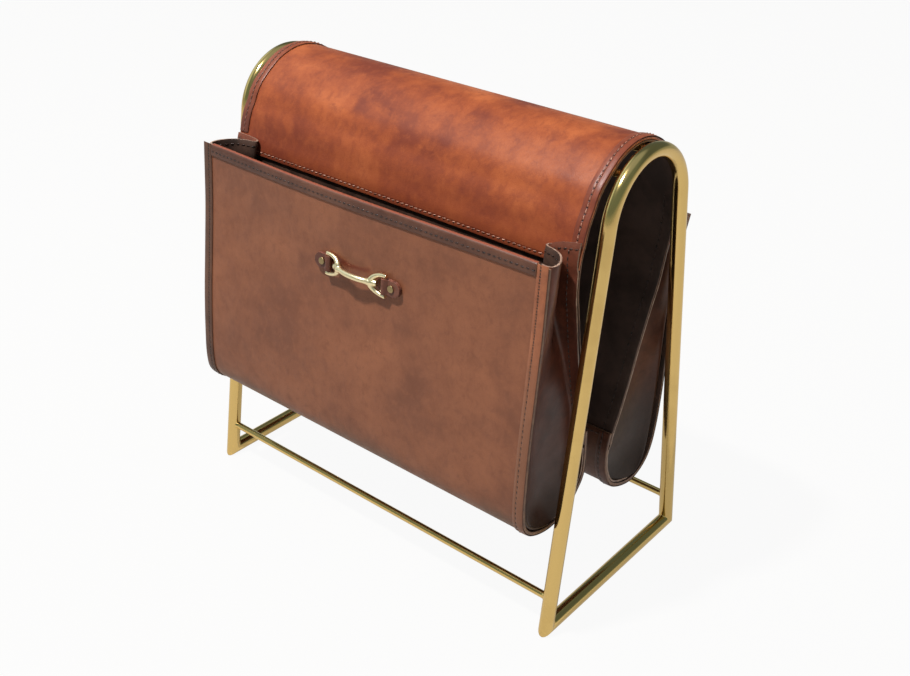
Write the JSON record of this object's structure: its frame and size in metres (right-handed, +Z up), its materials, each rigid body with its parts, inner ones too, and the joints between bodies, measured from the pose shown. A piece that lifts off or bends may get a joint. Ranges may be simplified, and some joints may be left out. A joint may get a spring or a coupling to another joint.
{
  "type": "magazine basket",
  "caption": "Leather saddlebag magazine basket with two deep gusseted pockets and a bit-shaped handle, hung over the top rods of an arched brass tube frame.",
  "frame": {"origin": "on the floor, under the middle of the whole basket's width and depth", "axes": "+Z up, X along the basket from one end frame to the other, -Y towards the front pocket with the handle"},
  "size_m": [0.405, 0.2314, 0.4113],
  "materials": {
    "brass": "polished and lacquered",
    "pale_brass": "polished",
    "saddle_leather": "burnished chestnut, mottled",
    "pocket_leather": "waxed brown, mottled",
    "trim_leather": "waxed dark brown",
    "lining_leather": "near-black brown"
  },
  "bodies": {
    "frame": {"left_bow_tube": "brass", "right_bow_tube": "brass", "left_floor_bar": "brass", "right_floor_bar": "brass", "front_lower_rod": "brass", "back_lower_rod": "brass", "front_shoulder_rod": "brass", "crown_rod": "brass", "back_shoulder_rod": "brass"},
    "saddlebag": {"saddle_lining": "lining_leather", "saddle_panel": "saddle_leather", "saddle_left_binding": "saddle_leather", "saddle_right_binding": "saddle_leather", "front_pocket_sling": "pocket_leather", "front_pocket_binding": "trim_leather", "front_pocket_left_strip": "trim_leather", "front_pocket_right_strip": "trim_leather", "front_pocket_left_gusset": "lining_leather", "front_pocket_right_gusset": "lining_leather", "back_pocket_sling": "pocket_leather", "back_pocket_binding": "trim_leather", "back_pocket_left_strip": "trim_leather", "back_pocket_right_strip": "trim_leather", "back_pocket_left_gusset": "lining_leather", "back_pocket_right_gusset": "lining_leather", "handle_bit": "pale_brass", "handle_left_tab": "trim_leather", "handle_right_tab": "trim_leather", "handle_left_rivet": "pale_brass", "handle_right_rivet": "pale_brass"}
  },
  "joints": [
    {"name": "saddlebag_lift", "type": "slide", "parent": "frame", "child": "saddlebag", "axis": [0, 0, 1], "range_m": [0, 0.145]}
  ]
}
